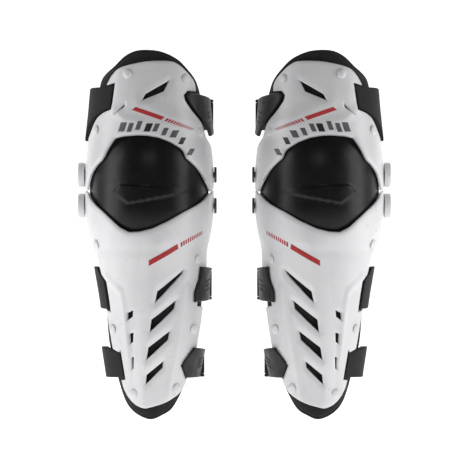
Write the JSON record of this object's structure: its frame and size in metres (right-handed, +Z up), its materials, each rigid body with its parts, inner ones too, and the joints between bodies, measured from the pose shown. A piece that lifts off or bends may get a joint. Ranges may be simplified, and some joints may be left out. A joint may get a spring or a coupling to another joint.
{
  "type": "knee guards",
  "caption": "Pair of hinged knee and shin guards: white slotted shells, black pivoting knee cups, padded liners and three hook straps on each leg.",
  "frame": {"origin": "midway between the two guards, at knee height on the line through the middle of the four hinge groups, where the wearer's legs hold the pair", "axes": "+Z up the leg, -Y the way the wearer faces, +X towards the wearer's left"},
  "size_m": [0.43, 0.169, 0.4984],
  "materials": {
    "shell": "satin white moulded nylon",
    "cup": "satin black moulded nylon",
    "liner": "woven cloth over foam",
    "webbing": "ribbed woven webbing",
    "hook": "moulded, fine grain",
    "cap": "satin white",
    "bolt": "dark satin",
    "link": "dark moulded",
    "rivet": "satin white"
  },
  "bodies": {
    "shin_right": {"shin_shell_right": "shell", "shin_liner_right": "liner", "strap_calf_upper_right": "webbing", "strap_calf_lower_right": "webbing", "rivet_shin_1_right": "rivet", "rivet_shin_2_right": "rivet", "rivet_shin_3_right": "rivet", "rivet_shin_4_right": "rivet", "rivet_shin_5_right": "rivet", "rivet_shin_6_right": "rivet"},
    "knee_right": {"knee_cup_right": "cup", "knee_pad_right": "liner", "link_outer_right": "link", "link_inner_right": "link", "cap_outer_upper_right": "cap", "cap_outer_lower_right": "cap", "cap_inner_upper_right": "bolt", "cap_inner_lower_right": "bolt"},
    "thigh_right": {"thigh_shell_right": "shell", "thigh_liner_right": "liner", "strap_thigh_right": "webbing", "rivet_thigh_1_right": "rivet", "rivet_thigh_2_right": "rivet", "rivet_thigh_3_right": "rivet", "rivet_thigh_4_right": "rivet"},
    "hook_thigh_right_body": {"hook_thigh_right": "hook"},
    "hook_calf_upper_right_body": {"hook_calf_upper_right": "hook"},
    "hook_calf_lower_right_body": {"hook_calf_lower_right": "hook"},
    "shin_left": {"shin_shell_left": "shell", "shin_liner_left": "liner", "strap_calf_upper_left": "webbing", "strap_calf_lower_left": "webbing", "rivet_shin_1_left": "rivet", "rivet_shin_2_left": "rivet", "rivet_shin_3_left": "rivet", "rivet_shin_4_left": "rivet", "rivet_shin_5_left": "rivet", "rivet_shin_6_left": "rivet"},
    "knee_left": {"knee_cup_left": "cup", "knee_pad_left": "liner", "link_outer_left": "link", "link_inner_left": "link", "cap_outer_upper_left": "cap", "cap_outer_lower_left": "cap", "cap_inner_upper_left": "bolt", "cap_inner_lower_left": "bolt"},
    "thigh_left": {"thigh_shell_left": "shell", "thigh_liner_left": "liner", "strap_thigh_left": "webbing", "rivet_thigh_1_left": "rivet", "rivet_thigh_2_left": "rivet", "rivet_thigh_3_left": "rivet", "rivet_thigh_4_left": "rivet"},
    "hook_thigh_left_body": {"hook_thigh_left": "hook"},
    "hook_calf_upper_left_body": {"hook_calf_upper_left": "hook"},
    "hook_calf_lower_left_body": {"hook_calf_lower_left": "hook"}
  },
  "joints": [
    {"name": "lower_pivot_right", "type": "hinge", "parent": "shin_right", "child": "knee_right", "pos_m": [-0.117, 0, -0.0206], "axis": [-1, 0, 0], "range_deg": [0, 50]},
    {"name": "upper_pivot_right", "type": "hinge", "parent": "knee_right", "child": "thigh_right", "pos_m": [-0.117, 0, 0.022], "axis": [-1, 0, 0], "range_deg": [0, 50]},
    {"name": "thigh_hook_right", "type": "hinge", "parent": "thigh_right", "child": "hook_thigh_right_body", "pos_m": [-0.0331, 0.00572, 0.103], "axis": [0, 0, 1], "range_deg": [0, 60]},
    {"name": "calf_upper_hook_right", "type": "hinge", "parent": "shin_right", "child": "hook_calf_upper_right_body", "pos_m": [-0.03533, 0.00417, -0.128], "axis": [0, 0, 1], "range_deg": [0, 60]},
    {"name": "calf_lower_hook_right", "type": "hinge", "parent": "shin_right", "child": "hook_calf_lower_right_body", "pos_m": [-0.04538, 0, -0.237], "axis": [0, 0, 1], "range_deg": [0, 60]},
    {"name": "guards_apart", "type": "slide", "parent": "shin_right", "child": "shin_left", "axis": [1, 0, 0], "range_m": [0, 0.1]},
    {"name": "lower_pivot_left", "type": "hinge", "parent": "shin_left", "child": "knee_left", "pos_m": [0.117, 0, -0.0206], "axis": [-1, 0, 0], "range_deg": [0, 50]},
    {"name": "upper_pivot_left", "type": "hinge", "parent": "knee_left", "child": "thigh_left", "pos_m": [0.117, 0, 0.022], "axis": [-1, 0, 0], "range_deg": [0, 50]},
    {"name": "thigh_hook_left", "type": "hinge", "parent": "thigh_left", "child": "hook_thigh_left_body", "pos_m": [0.0331, 0.00572, 0.103], "axis": [0, 0, -1], "range_deg": [0, 60]},
    {"name": "calf_upper_hook_left", "type": "hinge", "parent": "shin_left", "child": "hook_calf_upper_left_body", "pos_m": [0.03533, 0.00417, -0.128], "axis": [0, 0, -1], "range_deg": [0, 60]},
    {"name": "calf_lower_hook_left", "type": "hinge", "parent": "shin_left", "child": "hook_calf_lower_left_body", "pos_m": [0.04538, 0, -0.237], "axis": [0, 0, -1], "range_deg": [0, 60]}
  ]
}
